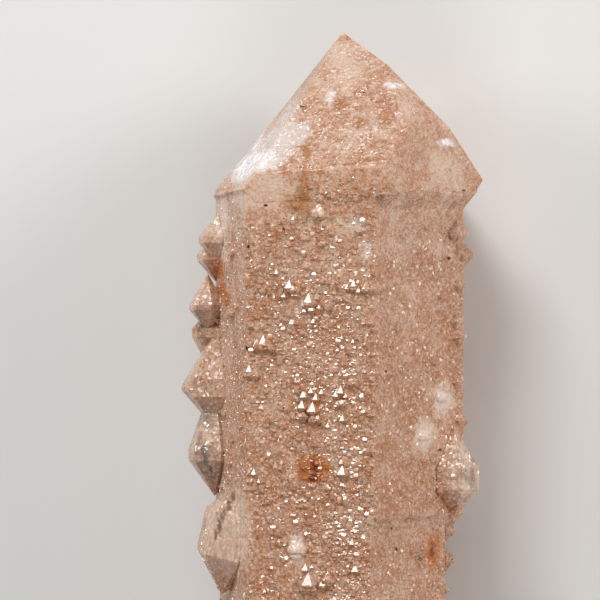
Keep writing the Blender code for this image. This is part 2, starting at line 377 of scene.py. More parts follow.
@dataclass(frozen=True)
class QuartzColours:
    """The pinkish brown of the crystal, its paler and clearer parts, its stains, and a painted reflection and
    highlights.
    """

    body: Colour = (0.445, 0.208, 0.108)
    pink: Colour = (0.515, 0.272, 0.162)
    pale: Colour = (0.65, 0.455, 0.335)
    cream: Colour = (0.72, 0.545, 0.425)
    amber: Colour = (0.42, 0.16, 0.062)
    tawny: Colour = (0.37, 0.135, 0.042)
    grit: Colour = (0.23, 0.105, 0.055)
    # Painted reflection: the pale grey of light mirrored by the head's left faces.
    painted_reflection: Colour = (0.60, 0.52, 0.475)
    # Painted highlight: near white for the brightest part of the painted reflection and for glints.
    painted_highlight: Colour = (0.93, 0.89, 0.90)
    frosted: Colour = (0.74, 0.60, 0.52)
    # A dark brown for a thin line down the lower left lobe.
    dark_line: Colour = (0.16, 0.085, 0.045)
    ash: Colour = (0.17, 0.16, 0.14)
    tea: Colour = (0.40, 0.165, 0.052)
    ochre: Colour = (0.44, 0.13, 0.022)
    rust: Colour = (0.20, 0.028, 0.004)
    speck: Colour = (0.055, 0.024, 0.01)

    rust_marks: Marks = marks(
        (1.4, -0.3, 28.3, 0.8, 1.1, 6, 0.7), (1.5, -1.7, 28.3, 0.8, 0.6, 6, 0.7),
        (0.3, -0.6, 28.3, 0.6, 0.4, 6, 0.9), (13.9, -10.8, 18.4, 0.3, 1.4, 6, 0.8),
    )
    ochre_marks: Marks = marks(
        (1.4, -0.5, 28.2, 2.7, 2.2, 6, 0.4), (-14.2, 23.6, 16, 1.8, 2, 6, 0.5),
        (-13.3, 21.6, 17.4, 1.7, 2, 6, 0.5), (-12.1, 19.9, 19.3, 1.4, 1.4, 6, 0.5),
        (-7.5, 5.5, 27.3, 1.3, 0.7, 6, 0.8), (-17.6, 16.3, 14.4, 1.4, 1.4, 6, 0.8),
        (13.9, -11, 18.4, 0.8, 2.7, 6, 0.4),
    )
    tea_marks: Marks = marks(
        (0.2, 36.8, 26.8, 0.8, 4.6, 9, 0.9), (0.2, 32, 28.2, 1.5, 3.4, 9, 0.9),
        (-1.2, 31.2, 28.2, 1.4, 1.6, 9, 1), (6, 41.4, 23.6, 1.3, 1, 9, 0.9),
        (9, 42.2, 22.8, 1.1, 2.2, 9, 0.9), (3.2, 43.8, 21.6, 1.1, 1, 9, 0.9),
    )
    tawny_marks: Marks = marks(
        (0, 37.2, 26.4, 0.8, 4.2, 9, 0.6), (0.3, 32.6, 28.2, 1.2, 3.2, 9, 0.6),
        (-0.9, 31.4, 28.2, 1.4, 1.6, 9, 0.8), (3.4, 43.7, 21.6, 1.5, 1.4, 9, 0.6),
        (6, 41.2, 23.6, 1.9, 1.3, 9, 0.6), (9.3, 42.5, 22.8, 1.6, 2.8, 9, 0.5),
        (-2.6, 27.9, 28.2, 3.4, 1.8, 6, 1), (7.4, 29.6, 28.2, 2.6, 2, 6, 1),
    )
    pale_marks: Marks = marks(
        (3.3, 48.2, 18, 3.4, 4.6, 6, 0.8), (-6, 37.6, 22.5, 6.2, 4.2, 6, 0.5),
        (-6, 33, 26.5, 6.4, 3, 9, 0.4), (1.6, 50.2, 16.5, 2.2, 2.4, 9, 0.5),
        (-9.2, -8.6, 25, 4.8, 6.2, 6, 0.6), (-0.6, -10.2, 28.2, 1.6, 2.6, 4, 0.5),
        (17.6, -1, 18.6, 2.4, 5.2, 7, 0.7), (15, 7.6, 17.8, 1.5, 2.8, 6, 0.5),
        (13.3, 3.2, 20.6, 1.7, 3, 6, 0.6), (-15.2, 4, 18, 2.6, 6.6, 6, 0.7),
        (4, 28.9, 28.1, 2.6, 1.3, 2, 0.8), (7.8, 25.4, 28.2, 1.3, 2, 2, 0.8),
        (15.6, 36, 19, 3, 4, 6, 1), (2.2, 30.3, 28.9, 0.9, 1.2, 2, 0.5),
    )
    cream_marks: Marks = marks(
        (3, 47.6, 19, 3.6, 6, 9, 0.9), (-6.2, 33, 27, 6, 2.6, 9, 0.4),
        (7, 39.8, 24.6, 4.4, 1.6, 9, 0.8), (5, 41.5, 24, 1.6, 6.5, 9, 1),
        (11.5, 42, 20, 2.4, 6, 9, 1), (4, 38.4, 25.5, 3.6, 1.6, 9, 1),
        (-6, 41.5, 20, 3.4, 5, 9, 1), (15.8, 35, 18, 3, 3, 9, 1),
        (-8.8, -8.8, 26, 4.8, 7, 9, 0.7), (18, -1.6, 18.6, 2.6, 5.6, 9, 0.8),
        (-12.4, 29.5, 19, 2.6, 4.6, 9, 0.9), (-15, 3, 18, 2.4, 7, 9, 0.9),
    )
    glassy_marks: Marks = marks(
        (-10.6, -8.6, 25, 5.2, 6.8, 12, 0.4), (-17.6, 1, 16, 3.6, 7, 9, 0.5),
        (-18.4, 13, 14.4, 3.4, 4.6, 9, 0.5), (-18, 21, 14.4, 3.2, 3.6, 9, 0.5),
        (-17, 28, 14.4, 3, 3, 9, 0.5), (18.4, -1, 17.4, 3.4, 6, 9, 0.5),
    )
    # Where the reflection of light on the head's left faces is painted on.
    painted_reflection_marks: Marks = marks(
        (-9.6, 36.9, 22, 4.8, 3.2, 14, 0.25), (-5.4, 38.2, 24, 4.2, 3.5, 14, 0.25),
        (-2.6, 40, 24, 3.2, 2, 14, 0.35), (-4.2, 42.6, 20, 3, 3.2, 14, 0.9),
    )
    # Where painted highlights go: the lower left of the painted reflection, and three glints on the head.
    painted_highlight_marks: Marks = marks(
        (-9.4, 36.5, 22, 4.2, 2.7, 14, 0.6), (-6.2, 36.8, 25, 3.2, 1.9, 14, 0.7),
        (-9.2, 39.6, 18, 1.9, 2.6, 14, 0.9), (1.6, 44.7, 20.8, 0.8, 1.2, 9, 0.8),
        (9.3, 45.9, 20, 1.5, 0.7, 9, 0.8), (15.6, 38.9, 20.2, 1.1, 0.7, 9, 0.8),
    )
    frosted_marks: Marks = marks(
        (-0.6, -10, 28.2, 1.3, 2.2, 6, 0.7), (15, 7.7, 17.8, 1.2, 2.4, 6, 0.6),
        (13.4, 3.4, 20.8, 1.3, 2.4, 6, 0.7), (6.6, 28.8, 28.2, 2, 1.6, 6, 1),
        (8, 25.6, 28.2, 0.7, 2.4, 6, 1), (-13, 29.6, 18, 2.6, 3.6, 9, 0.9),
        (-12.6, 25.4, 19, 1.6, 2, 9, 0.9),
    )
    # Small marks along a thin dark line on the lower left lobe.
    dark_line_marks: Marks = marks(
        (-10.1, -4.2, 23.4, 0.5, 1, 9, 0.6), (-10.4, -5.4, 24, 0.5, 1.1, 9, 0.6),
        (-10.9, -6.6, 24.6, 0.45, 1.1, 9, 0.6), (-11.3, -7.8, 25, 0.4, 1.1, 9, 0.6),
        (-11.8, -8.9, 25, 0.3, 1, 9, 0.6),
    )
    ash_marks: Marks = marks(
        (-15.2, 1.2, 18.4, 0.6, 1.2, 9, 0.7), (-15, -0.2, 18.5, 0.7, 1.3, 9, 0.7),
        (-14.6, -1.3, 18.2, 0.4, 0.9, 9, 0.7),
    )
    speck_marks: Marks = marks(
        (-6.7, 26.2, 28.2, 0.24, 0.24, 1.5, 0.3), (-2.3, 28.3, 28.2, 0.2, 0.2, 1.5, 0.3),
        (-4.6, 31.2, 28.2, 0.3, 0.16, 1.5, 0.3), (-11.6, 22.3, 20.2, 0.2, 0.2, 1.5, 0.3),
        (-7, 13.9, 28.4, 0.34, 0.24, 1.5, 0.3), (15.5, 24.9, 16.6, 0.22, 0.3, 1.5, 0.3),
        (14.7, 1.5, 18, 0.2, 0.2, 1.5, 0.3), (9.9, 11.2, 26.4, 0.16, 0.16, 1.5, 0.3),
        (10.7, -10.3, 24.2, 0.14, 0.42, 1.5, 0.3), (12.8, -11.7, 20.5, 0.2, 0.24, 1.5, 0.3),
        (10.3, -7.7, 25, 0.16, 0.16, 1.5, 0.3), (5.6, 45.2, 20.6, 0.36, 0.16, 2, 0.3),
        (-1.8, 43.5, 21.6, 0.4, 0.14, 2, 0.3), (16.2, 36.7, 19.2, 0.2, 0.2, 1.5, 0.3),
        (17.3, 33.2, 16.7, 0.2, 0.2, 1.5, 0.3),
    )


class Coat:
    """The colour of a surface, worked from noises and laid on in layers, each a colour and its mask."""

    def __init__(self, tints: QuartzColours, shader: Shader, place: Value, tone: Value | None = None) -> None:
        """Lays the noises and the first colour.

        Args:
            tints: the colours and their marks.
            shader: the material that they are in.
            place: where the surface is, in millimetres.
            tone: how pale each small crystal is, from 0 to 1, where there are any.
        """
        self.tints, self.shader, self.place, self.tone = tints, shader, place, tone
        # Each noise has the size of its clouds in millimetres and the number of its finer layers.
        self.veil = shader.noise(place, 3.0, 3.0)
        self.feather = shader.noise(place, 0.9, 4.0)
        self.sugar = shader.noise(place, 0.45, 3.0)
        self.edges = {edge: shader.stray(place, edge) for edge in Edge}
        self.upper = shader.part(place, "Y").fade(16.0, 30.0)
        self.pale = self.marked(tints.pale_marks, Edge.LOOSE)
        self.tint = shader.blend(tints.body, tints.pink, shader.noise(place, 7.0, 3.0).fade(0.38, 0.62))

    def marked(self, spots: Marks, edge: Edge = Edge.RAGGED) -> Value:
        """1 inside any of the marks, whose edges wander."""
        return any_mark(self.shader, self.edges[edge], spots)

    def lay(self, *layers: tuple[Colour, Value]) -> None:
        """Lays colours on, each with its mask and each over the last."""
        for colour, mask in layers:
            self.tint = self.shader.blend(self.tint, colour, mask)

    def colour(self) -> Value:
        """Lays everything on.

        Returns:
            The colour.
        """
        self.clouds()
        self.patches()
        self.grains()
        self.stains()
        return self.tint

    def clouds(self) -> None:
        """Lays the soft clouds, more feathery towards the head, and the paler left edge."""
        tints, veil, feather, upper = self.tints, self.veil, self.feather, self.upper
        left = self.shader.part(self.place, "X").fade(-9.0, -14.0)
        self.lay(
            (tints.amber, veil.fade(0.50, 0.66) * (0.5 - upper * 0.3)),
            (tints.pale, veil.fade(0.50, 0.34) * (0.4 + upper * 0.2)),
            (tints.pale, left * 0.5),
            (tints.amber, feather.fade(0.52, 0.64) * upper * 0.5),
            (tints.pale, feather.fade(0.48, 0.36) * upper * 0.5),
        )

    def patches(self) -> None:
        """Lays the pale and tawny patches, and the wrinkles of the head."""
        tints, shader, upper = self.tints, self.shader, self.upper
        creased = shader.vector("MULTIPLY", self.edges[Edge.LOOSE], (0.8, 1.5, 1.0))
        wrinkle = shader.noise(creased, 1.3, 4.0)
        ridge = wrinkle.fade(0.455, 0.49) * wrinkle.fade(0.525, 0.49)
        cream = self.marked(tints.cream_marks, Edge.LOOSE) * self.veil.fade(0.62, 0.45)
        self.lay(
            (tints.cream, cream * 0.75),
            (tints.pale, self.pale * 0.9),
            (tints.tawny, self.marked(tints.tawny_marks) * 0.85),
            (tints.cream, ridge * upper * 0.6),
            (tints.tawny, wrinkle.fade(0.40, 0.35) * upper * 0.45),
        )

    def grains(self) -> None:
        """Lays the sugary grain, weaker on the pale patches and the head, and each small crystal's tone."""
        tints, shader, place, tone = self.tints, self.shader, self.place, self.tone
        rough = (1.0 - self.pale * 0.45) * (1.0 - self.upper * 0.25)
        cell = shader.node("ShaderNodeSeparateColor", None, {0: shader.cells(place, 0.34)}, 1)
        grit = shader.noise(place, 0.22, 2.0)
        self.lay(
            (tints.pale, self.sugar.fade(0.52, 0.72) * 0.3),
            (tints.amber, cell.fade(0.45, 0.0) * rough * 0.6),
            (tints.pale, cell.fade(0.6, 1.0) * 0.6),
            (tints.grit, grit.fade(0.54, 0.66) * rough * 0.6),
            (tints.cream, grit.fade(0.44, 0.32) * 0.5),
        )
        if tone is not None:
            self.lay((tints.pale, tone.fade(0.55, 1.0) * 0.4), (tints.amber, tone.fade(0.35, 0.0) * 0.3))

    def stains(self) -> None:
        """Lays the glassy streaks, the painted reflection and highlights, the frosted patches, the dark
        lines, stains and specks.
        """
        tints, shader, marked = self.tints, self.shader, self.marked
        feather, sugar = self.feather, self.sugar
        streak = shader.noise(shader.vector("MULTIPLY", self.place, (3.0, 0.3, 3.0)), 1.0, 2.0)
        glassy = any_mark(shader, self.place, tints.glassy_marks)
        self.lay(
            (tints.cream, glassy * streak.fade(0.48, 0.62, 0.25, 0.8)),
            (tints.amber, glassy * streak.fade(0.44, 0.34) * 0.3),
            # Painted reflection and painted highlights: light laid on as pale colours.
            (tints.painted_reflection, marked(tints.painted_reflection_marks) * 0.85),
            (tints.painted_highlight, marked(tints.painted_highlight_marks) * feather.fade(0.36, 0.56, 0.35, 1.0)),
            (tints.frosted, marked(tints.frosted_marks) * sugar.fade(0.35, 0.55, 0.45, 1.0) * 0.75),
            (tints.dark_line, marked(tints.dark_line_marks, Edge.CLOSE) * 0.75),
            (tints.ash, marked(tints.ash_marks, Edge.CLOSE) * sugar.fade(0.3, 0.5) * 0.85),
            (tints.tea, marked(tints.tea_marks) * feather.fade(0.3, 0.5) * 0.8),
            (tints.ochre, marked(tints.ochre_marks) * sugar.fade(0.15, 0.45) * 0.9),
            (tints.rust, marked(tints.rust_marks)),
            (tints.speck, marked(tints.speck_marks, Edge.CLOSE)),
        )


@dataclass(frozen=True)
class MilkyQuartz:
    """The crystal itself: milky inside, with clearer side crystals and a grainy, glassy skin.

    The painted shade darkens the colour of the faces that look up the shaft, towards the top light, and the
    glow is the light that spreads under the skin. The tilts say how far the grains lean: everywhere, and
    added below the head, on the front face, in its bright band and on the patch where a reflection is painted
    on.
    """

    colours: QuartzColours = QuartzColours()
    gloss: tuple[float, float] = (0.16, 0.36)
    # Painted shade: a darker colour multiplied onto the faces that look up the shaft towards the top light,
    # eased over how far they look up.
    painted_shade: Colour = (0.89, 0.89, 0.90)
    painted_shade_facing: tuple[float, float] = (0.35, 0.6)
    glow: float = 0.35
    glow_depth: float = 1.2 * MM
    glow_reach: Colour = (1.0, 0.55, 0.35)
    clear_tint: Colour = (0.97, 0.93, 0.90)
    clear_share: float = 0.45
    absorbed: Colour = (0.93, 0.70, 0.56)
    density: float = 130.0
    cell: float = 0.30
    relief: float = 0.08 * MM
    tilt: float = 0.30
    tilt_below: float = 0.50
    tilt_front: float = 0.15
    tilt_band: float = 0.20
    tilt_painted_reflection: float = 0.50

    clear_marks: Marks = marks(
        (-15.6, 2, 17, 2.8, 7, 7, 0.6), (-15.8, 17, 16, 2.6, 3.6, 7, 0.7),
        (17.8, -1, 18, 2.6, 5.4, 7, 0.7),
    )

    def build(self) -> bpy.types.Material:
        """Makes the material.

        Returns:
            The material.
        """
        shader = Shader(SLOT)
        place = shader.millimetres()
        # Painted reflection: the patch of the head where a reflection is painted on; it is spared the painted
        # shade and its grains lean further.
        painted_reflection = any_mark(shader, place, self.colours.painted_reflection_marks)
        upward = shader.part(shader.node("ShaderNodeNewGeometry", out="True Normal"), "Y")
        # Painted shade: faces that look up the shaft, towards the top light, get a darker colour, except
        # where the reflection is painted.
        painted_shade_facing = upward.fade(*self.painted_shade_facing) * (1.0 - painted_reflection)
        colour = Coat(self.colours, shader, place).colour()
        normal = self.grain(shader, place, painted_reflection)
        gloss = shader.noise(place, 1.2, 3.0).fade(0.3, 0.7, *self.gloss)
        milky = shader.quartz(
            {
                "Base Color": shader.blend(colour, self.painted_shade, painted_shade_facing, "MULTIPLY"),
                "Roughness": gloss,
                "Normal": normal,
                "Subsurface Weight": self.glow,
                "Subsurface Radius": self.glow_reach,
                "Subsurface Scale": self.glow_depth,
            },
            {"subsurface_method": "RANDOM_WALK"},
        )
        clear = shader.clear_quartz(self.clear_tint, gloss * 0.5, normal)
        clearness = any_mark(shader, place, self.clear_marks) * shader.noise(place, 2.6, 3.0).fade(0.35, 0.6)
        share = clearness * self.clear_share
        surface = shader.node("ShaderNodeMixShader", None, {0: share, 1: milky, 2: clear})
        absorption = {"Color": paint(self.absorbed), "Density": self.density}
        return shader.finish(surface, shader.node("ShaderNodeVolumeAbsorption", None, absorption))

    def grain(self, shader: Shader, place: Value, painted_reflection: Value) -> Value:
        """The fine relief: cells that each lean their own way, over low ledges, with flakes on the head.

        Args:
            shader: the material that it is in.
            place: where the surface is, in millimetres.
            painted_reflection: where a reflection is painted on as a pale patch.

        Returns:
            The surface's direction.
        """
        across, along = shader.part(place, "X"), shader.part(place, "Y")
        below_head = along.fade(33.0, 25.0)
        front = across.fade(-12.0, -7.0) * across.fade(9.4, 8.6) * below_head
        band = across.fade(0.0, 5.0) * front
        patches = shader.noise(place, 3.0, 2.0).fade(0.35, 0.65, 0.6, 1.0)
        amount = self.tilt + below_head * self.tilt_below + front * self.tilt_front + band * self.tilt_band
        amount = (amount + painted_reflection * self.tilt_painted_reflection) * patches
        lean = shader.vector("SUBTRACT", shader.cells(place, self.cell), (0.5, 0.5, 0.5))
        plain = shader.node("ShaderNodeNewGeometry", out="Normal")
        grainy = shader.vector("NORMALIZE", shader.vector("ADD", plain, shader.scaled(lean, amount)))
        flakes = shader.noise(shader.vector("MULTIPLY", place, (1.0, 2.0, 1.0)), 0.7, 3.0)
        ledges = shader.noise(place, 0.9, 3.0) + shader.noise(place, 4.0, 2.0) * 2.0
        ledges = ledges + flakes * along.fade(27.0, 34.0) * 1.6
        sockets = {"Strength": 0.6, "Distance": self.relief, "Height": ledges, "Normal": grainy}
        return shader.node("ShaderNodeBump", None, sockets)


@dataclass(frozen=True)
class SugarQuartz:
    """The small crystals of the crust: glassy, each a little paler or clearer than the next."""

    name: str = "sugar_quartz"
    colours: QuartzColours = QuartzColours()
    gloss: tuple[float, float] = (0.07, 0.21)
    clear_tint: Colour = (0.96, 0.86, 0.80)
    clear_share: float = 0.2
    cell: float = 0.16
    relief: float = 0.02 * MM

    def build(self) -> bpy.types.Material:
        """Makes the material.

        Returns:
            The material.
        """
        shader = Shader(self.name)
        place = shader.millimetres()
        tone = shader.node("ShaderNodeAttribute", {"attribute_name": TONE}, None, "Fac")
        fine = shader.noise(place, self.cell, 2.0)
        relief = {"Strength": 0.25, "Distance": self.relief, "Height": fine}
        normal = shader.node("ShaderNodeBump", None, relief)
        gloss = fine.fade(0.3, 0.7, *self.gloss)
        colour = Coat(self.colours, shader, place, tone).colour()
        milky = shader.quartz({"Base Color": colour, "Roughness": gloss, "Normal": normal})
        clear = shader.clear_quartz(self.clear_tint, gloss, normal)
        share = tone.fade(0.4, 0.9) * self.clear_share
        return shader.finish(shader.node("ShaderNodeMixShader", None, {0: share, 1: milky, 2: clear}))


@dataclass(frozen=True)
class PaleFloor:
    """A plain pale matte floor."""

    colour: Colour = (0.70, 0.69, 0.67)
    roughness: float = 0.7

    def build(self) -> bpy.types.Material:
        """Makes the material.

        Returns:
            The material.
        """
        shader = Shader("pale_floor")
        sockets = {"Base Color": paint(self.colour), "Roughness": self.roughness}
        return shader.finish(shader.node("ShaderNodeBsdfPrincipled", None, sockets))


@dataclass(frozen=True)
class Habit:
    """The shape of a small crystal that is about 1 from its axis to each face.

    The shares say how far along each pyramid face meets the axis, against the regular point. A share of 0 is
    a face that the crystal hasn't got, and a prism of 0 has no prism faces.
    """

    # How much larger the block is that the crystal is cut from, and how near a cut a point counts as on it.
    BLOCK = 8
    ON_CUT = 1e-4

    prism: float
    upper: tuple[float, ...]
    lower: tuple[float, ...]

    def shape(self) -> tuple[np.ndarray, np.ndarray]:
        """Cuts the crystal out of a much larger block.

        Returns:
            Its points, and its triangles by their three points.
        """
        shape = bmesh.new()
        bmesh.ops.create_cube(shape, size=self.BLOCK * (self.prism + TIP_RISE))
        for side in Side if self.prism else ():
            self.cut(shape, side.outward, side.outward)
        for end, shares in ((1.0, self.upper), (-1.0, self.lower)):
            for side, share in zip(Side, shares):
                if not share:
                    continue
                normal = side.outward * math.cos(PYRAMID_ANGLE)
                normal.y = end * math.sin(PYRAMID_ANGLE)
                self.cut(shape, Vector((0.0, end * (self.prism / 2 + TIP_RISE * share), 0.0)), normal)
        bmesh.ops.recalc_face_normals(shape, faces=shape.faces)
        bmesh.ops.triangulate(shape, faces=shape.faces)
        shape.verts.index_update()
        points = np.array([vert.co[:] for vert in shape.verts])
        faces = np.array([[vert.index for vert in face.verts] for face in shape.faces])
        shape.free()
        return points, faces

    def cut(self, shape: bmesh.types.BMesh, point: Vector, normal: Vector) -> None:
        """Cuts away what lies beyond a plane and closes the cut.

        Args:
            shape: the block.
            point: a point on the plane.
            normal: the direction that is cut away.
        """
        everything = shape.verts[:] + shape.edges[:] + shape.faces[:]
        cut = bmesh.ops.bisect_plane(
            shape, geom=everything, dist=self.ON_CUT, plane_co=point, plane_no=normal, clear_outer=True
        )
        rim = [piece for piece in cut["geom_cut"] if isinstance(piece, bmesh.types.BMEdge)]
        if len(rim) > 2:
            bmesh.ops.contextual_create(shape, geom=rim)


REGULAR = (1.0,) * 6
GRAINS = (
    Habit(0.0, (1.0, 0.0, 1.0, 0.0, 1.0, 0.0), (0.0, 1.0, 0.0, 1.0, 0.0, 1.0)),
    Habit(0.15, REGULAR, REGULAR),
    Habit(0.0, (1.0, 0.0, 1.2, 0.0, 1.1, 0.0), (0.0, 1.1, 0.0, 1.0, 0.0, 1.1)),
)
CRYSTALS = (
    Habit(0.15, REGULAR, REGULAR),
    Habit(0.50, (1.0, 1.3, 1.0, 1.3, 1.0, 1.3), (1.0, 1.2, 1.0, 1.2, 1.0, 1.2)),
    Habit(1.10, (0.9, 1.3, 1.2, 1.3, 1.1, 1.3), (1.1, 1.2, 1.0, 1.2, 1.0, 1.1)),
    Habit(0.30, (0.8, 1.2, 1.3, 1.3, 1.3, 1.1), (1.0, 1.3, 1.1, 1.3, 1.1, 1.3)),
    Habit(1.80, (1.0, 1.1, 1.2, 1.2, 1.2, 1.1), (1.0, 1.1, 1.1, 1.0, 1.1, 1.1)),
)

# Where the low steps under the head and near the lower end are along the shaft, in millimetres.
HEAD_STEP = 32.4
LOWER_STEP = -7.6

# A triangle that looks less far along the shaft than this belongs to a prism face.
LEVEL = 0.3

# The share of the crust that stands on the smooth spots.
SMOOTH_SHARE = 0.04

# Smooth spots in the crust: across, along, width and height in millimetres.
SMOOTH_SPOTS = (
    (-8.7, -9.0, 4.6, 6.4),
    (-0.6, -10.2, 1.3, 2.4),
    (-5.0, 32.0, 4.4, 2.6),
    (15.1, 7.7, 1.1, 2.4),
    (13.4, 3.4, 1.3, 3.0),
)


def bump(value: np.ndarray, middle: float, reach: float) -> np.ndarray:
    """A smooth hump of height 1 about a middle, as wide as its reach."""
    return np.exp(-(((value - middle) / reach) ** 2))


def below(along: np.ndarray, edge: float, ease: float) -> np.ndarray:
    """1 below a place on the shaft and 0 above it, eased over some millimetres."""
    return 1 / (1 + np.exp((along - edge) / ease))


def bright_patch(points: np.ndarray) -> np.ndarray:
    """The wide bright patch under the head, 1 in its middle."""
    return bump(points[:, 0], 1.5, 5.6) * bump(points[:, 1], 13.0, 10.0)


def open_growth(points: np.ndarray) -> np.ndarray:
    """How freely the crust grows.

    Args:
        points: places on the surface, in millimetres.

    Returns:
        Nearly 0 on the smooth spots, and 1 elsewhere.
    """
    share = np.ones(len(points))
    for across, along, wide, high in SMOOTH_SPOTS:
        inside = ((points[:, 0] - across) / wide) ** 2 + ((points[:, 1] - along) / high) ** 2 < 1.0
        share[inside & (points[:, 2] > AXIS_LEVEL)] = SMOOTH_SHARE
    return share


def sparkle(points: np.ndarray) -> np.ndarray:
    """How many of the front face's crystals flash: patches below the head, and a band down the right edge.

    Args:
        points: places on the surface, in millimetres.

    Returns:
        The share at each place.
    """
    across, along = points[:, 0], points[:, 1]
    band = bump(across, 5.8, 2.2) * (0.12 + 0.55 * below(along, 0.0, 2.5))
    share = below(along, 24.5, 0.8) * (0.1 + bright_patch(points) * 0.5 + band)
    waves = np.sin(along * 1.7 + 2.0 * np.sin(across * 0.8)) * np.sin(across * 1.3 + 0.4 * along)
    return np.clip(0.05 + share * (0.35 + 0.9 * (0.5 + 0.5 * waves)), 0.0, 0.95)


class Crowd(Enum):
    """How the crust is spread over the faces that it grows on."""

    FRONT = "least on the head and most towards the right edge"
    BRIGHT = "spread out below the head, with a band down the right part of the lower front face"
    STEPS = "rows over the low steps"
    EVEN = "even below the head and thin on it, also over the faces of the steps"

    def chance(self, points: np.ndarray, normals: np.ndarray) -> np.ndarray:
        """How likely a crystal is.

        Args:
            points: places on the surface, in millimetres.
            normals: the directions that the surface faces.

        Returns:
            The chance at each place.
        """
        across, along = points[:, 0], points[:, 1]
        level = np.abs(normals[:, 1]) < LEVEL
        if self is Crowd.FRONT:
            band = bump(across, 6.0, 3.0) * 0.5 * below(along, 2.0, 3.0)
            share = 0.03 + bump(along, HEAD_STEP, 0.8) * 0.6 + below(along, 30.5, 2.0) * (0.45 + band)
            return share * level * (across > -12.0) * open_growth(points)
        if self is Crowd.BRIGHT:
            share = bump(across, 6.0, 2.0) * below(along, 1.0, 3.0) + bright_patch(points) * 0.35
            return share * level * (along < 24.0)
        if self is Crowd.STEPS:
            rows = bump(along, HEAD_STEP, 0.7) + bump(along, LOWER_STEP, 0.5) * 0.5
            return rows * level * open_growth(points)
        inside = (normals[:, 1] < LEVEL) & (np.abs(across - AXIS_ACROSS) < 15.4)
        return (0.05 + 0.8 * below(along, 33.0, 2.0)) * inside * open_growth(points)


@dataclass(frozen=True)
class Field:
    """One stretch of the surface and the small crystals that stand on it.

    The width is in millimetres, proud is how many half widths a crystal stands out of the face, and glints is
    the share of the crystals that lean towards the top light.
    """

    name: str
    sides: tuple[Side, ...]
    count: int
    seed: int
    width: tuple[float, float]
    proud: tuple[float, float]
    crowd: Crowd
    glints: float
    habits: tuple[Habit, ...] = GRAINS


class Skin:
    """The faces of the CAD crystal, from which small crystals grow."""

    # How nearly a triangle looks the way of its prism face, how many places are tried for each crystal, and
    # an area that is as good as none.
    FACING = 0.7
    TRIES = 12
    NO_AREA = 1e-15

    def __init__(self, node: bpy.types.Object) -> None:
        """Reads the triangles of the CAD crystal.

        Args:
            node: the crystal's node.
        """
        mesh = node.data
        mesh.calc_loop_triangles()
        points = np.empty(len(mesh.vertices) * 3, np.float32)
        mesh.vertices.foreach_get("co", points)
        corners = np.empty(len(mesh.loop_triangles) * 3, np.int32)
        mesh.loop_triangles.foreach_get("vertices", corners)
        self.corners = points.reshape(-1, 3).astype(float)[corners.reshape(-1, 3)]
        edges = self.corners[:, 1:] - self.corners[:, :1]
        cross = np.cross(edges[:, 0], edges[:, 1])
        doubled = np.linalg.norm(cross, axis=1)
        self.areas = doubled / 2
        self.normals = cross / np.maximum(doubled, self.NO_AREA)[:, None]

    def scatter(self, stretch: Field, dice: np.random.Generator) -> tuple[np.ndarray, np.ndarray]:
        """Picks the places of a field's crystals.

        Args:
            stretch: the field.
            dice: the seeded dice.

        Returns:
            The points on the surface, and the direction that the surface faces there.
        """
        facing = np.zeros(len(self.areas), bool)
        for side in stretch.sides:
            facing |= self.normals @ np.array(side.outward) > self.FACING
        areas = np.where(facing, self.areas, 0.0)
        tries = stretch.count * self.TRIES
        chosen = dice.choice(len(areas), tries, p=areas / areas.sum())
        first, second = dice.random(tries), dice.random(tries)
        folded = first + second > 1
        first[folded], second[folded] = 1 - first[folded], 1 - second[folded]
        corners = self.corners[chosen]
        points = corners[:, 0] + (corners[:, 1] - corners[:, 0]) * first[:, None]
        points += (corners[:, 2] - corners[:, 0]) * second[:, None]
        normals = self.normals[chosen]
        kept = dice.random(tries) < stretch.crowd.chance(points / MM, normals)
        return points[kept][: stretch.count], normals[kept][: stretch.count]


@dataclass(frozen=True)
class Seeds:
    """Where small crystals start, with one row for each.

    The widths are half widths in metres, proud is how many of them a crystal stands out of the face, a lean
    is three turns in radians, and a kind is the place of a habit in its list.
    """

    points: np.ndarray
    normals: np.ndarray
    widths: np.ndarray
    proud: np.ndarray
    leans: np.ndarray
    kinds: np.ndarray
    tones: np.ndarray


